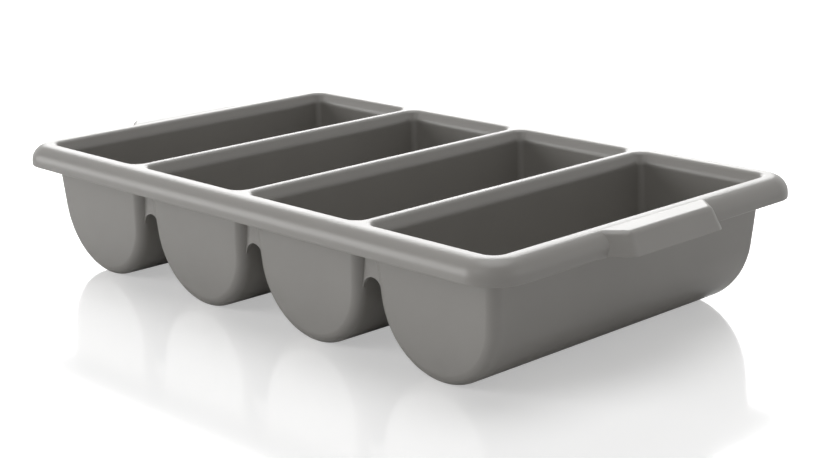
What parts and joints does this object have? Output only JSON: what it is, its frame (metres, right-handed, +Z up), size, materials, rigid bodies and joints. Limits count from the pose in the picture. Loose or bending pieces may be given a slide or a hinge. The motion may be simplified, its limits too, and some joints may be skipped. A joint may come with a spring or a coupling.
{
  "type": "cutlery box",
  "caption": "Open grey plastic box with round-bottomed troughs side by side under one rim, a grip at each short end, for sorting cutlery.",
  "frame": {"origin": "on the surface that the box stands on, under the middle of the box", "axes": "+X across the compartments towards the right grip, +Y along them to the back, +Z up"},
  "size_m": [0.521, 0.3052, 0.094],
  "materials": {
    "grey_plastic": "fine satin texture of an injection mould, slightly glossy"
  },
  "bodies": {
    "root": {"rim_frame": "grey_plastic", "grip_left": "grey_plastic", "grip_right": "grey_plastic", "divider_1": "grey_plastic", "divider_2": "grey_plastic", "divider_3": "grey_plastic", "trough_1": "grey_plastic", "trough_2": "grey_plastic", "trough_3": "grey_plastic", "trough_4": "grey_plastic", "web_front_1": "grey_plastic", "web_front_2": "grey_plastic", "web_front_3": "grey_plastic", "web_back_1": "grey_plastic", "web_back_2": "grey_plastic", "web_back_3": "grey_plastic"}
  },
  "joints": []
}
